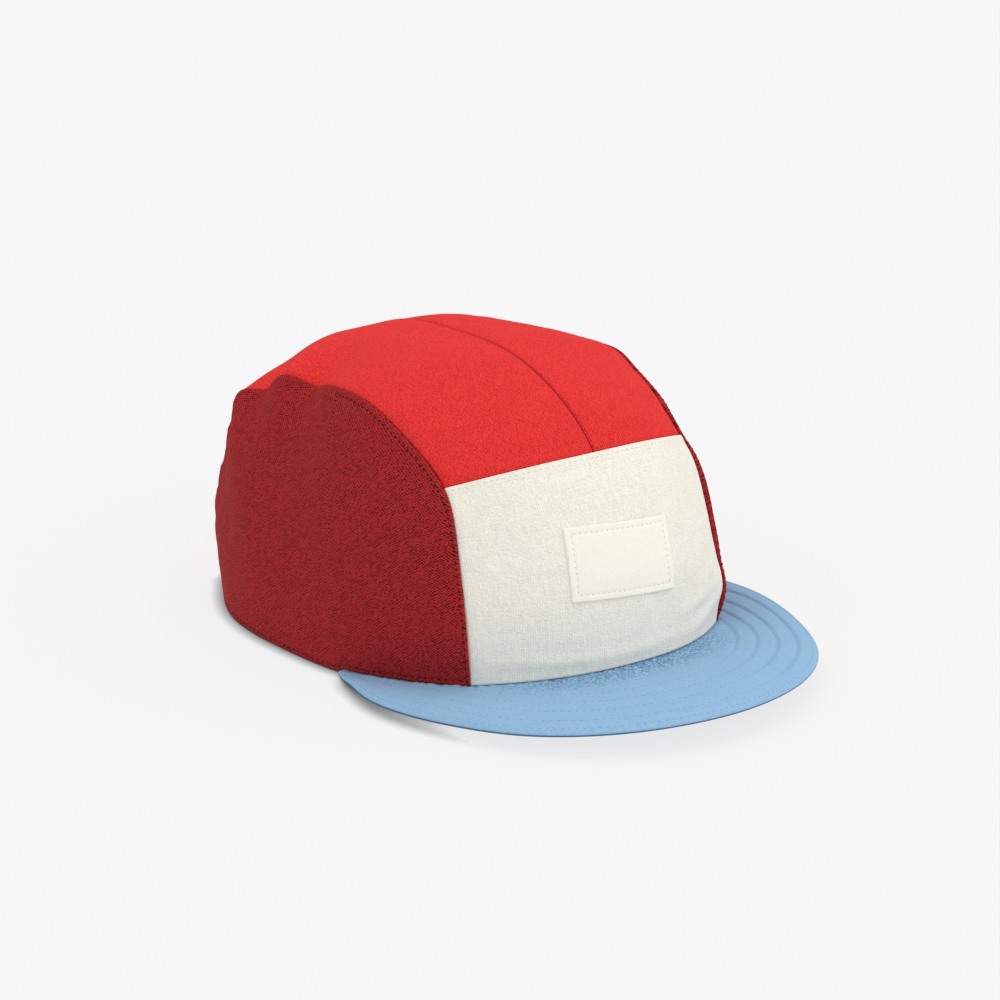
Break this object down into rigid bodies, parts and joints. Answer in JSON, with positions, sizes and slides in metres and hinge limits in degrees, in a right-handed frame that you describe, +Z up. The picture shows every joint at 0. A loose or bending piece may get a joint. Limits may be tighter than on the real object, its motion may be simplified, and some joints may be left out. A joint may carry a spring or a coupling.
{
  "type": "linen cap",
  "caption": "Child's linen camp cap: soft panelled crown, open below, with a gathered back and a curved stitched peak.",
  "frame": {"origin": "on the surface that the cap lies on, under the middle of its bounding box", "axes": "+Z up, -Y towards the peak, X across the cap from one side panel to the other"},
  "size_m": [0.163, 0.2372, 0.1005],
  "materials": {
    "front_panel": "cream linen, matte, straight grain",
    "top_panel_left": "bright red linen, matte, bias grain",
    "top_panel_right": "bright red linen, matte, bias grain",
    "side_panel_left": "dark red linen, matte, straight grain",
    "side_panel_right": "dark red linen, matte, straight grain",
    "peak": "light blue linen over a stiffener, matte, with rows of stitching",
    "patch": "cream woven tape, matte, left bare"
  },
  "bodies": {
    "root": {"front_panel": "front_panel", "top_panel_left": "top_panel_left", "top_panel_right": "top_panel_right", "side_panel_left": "side_panel_left", "side_panel_right": "side_panel_right", "peak": "peak", "patch": "patch"}
  },
  "joints": []
}
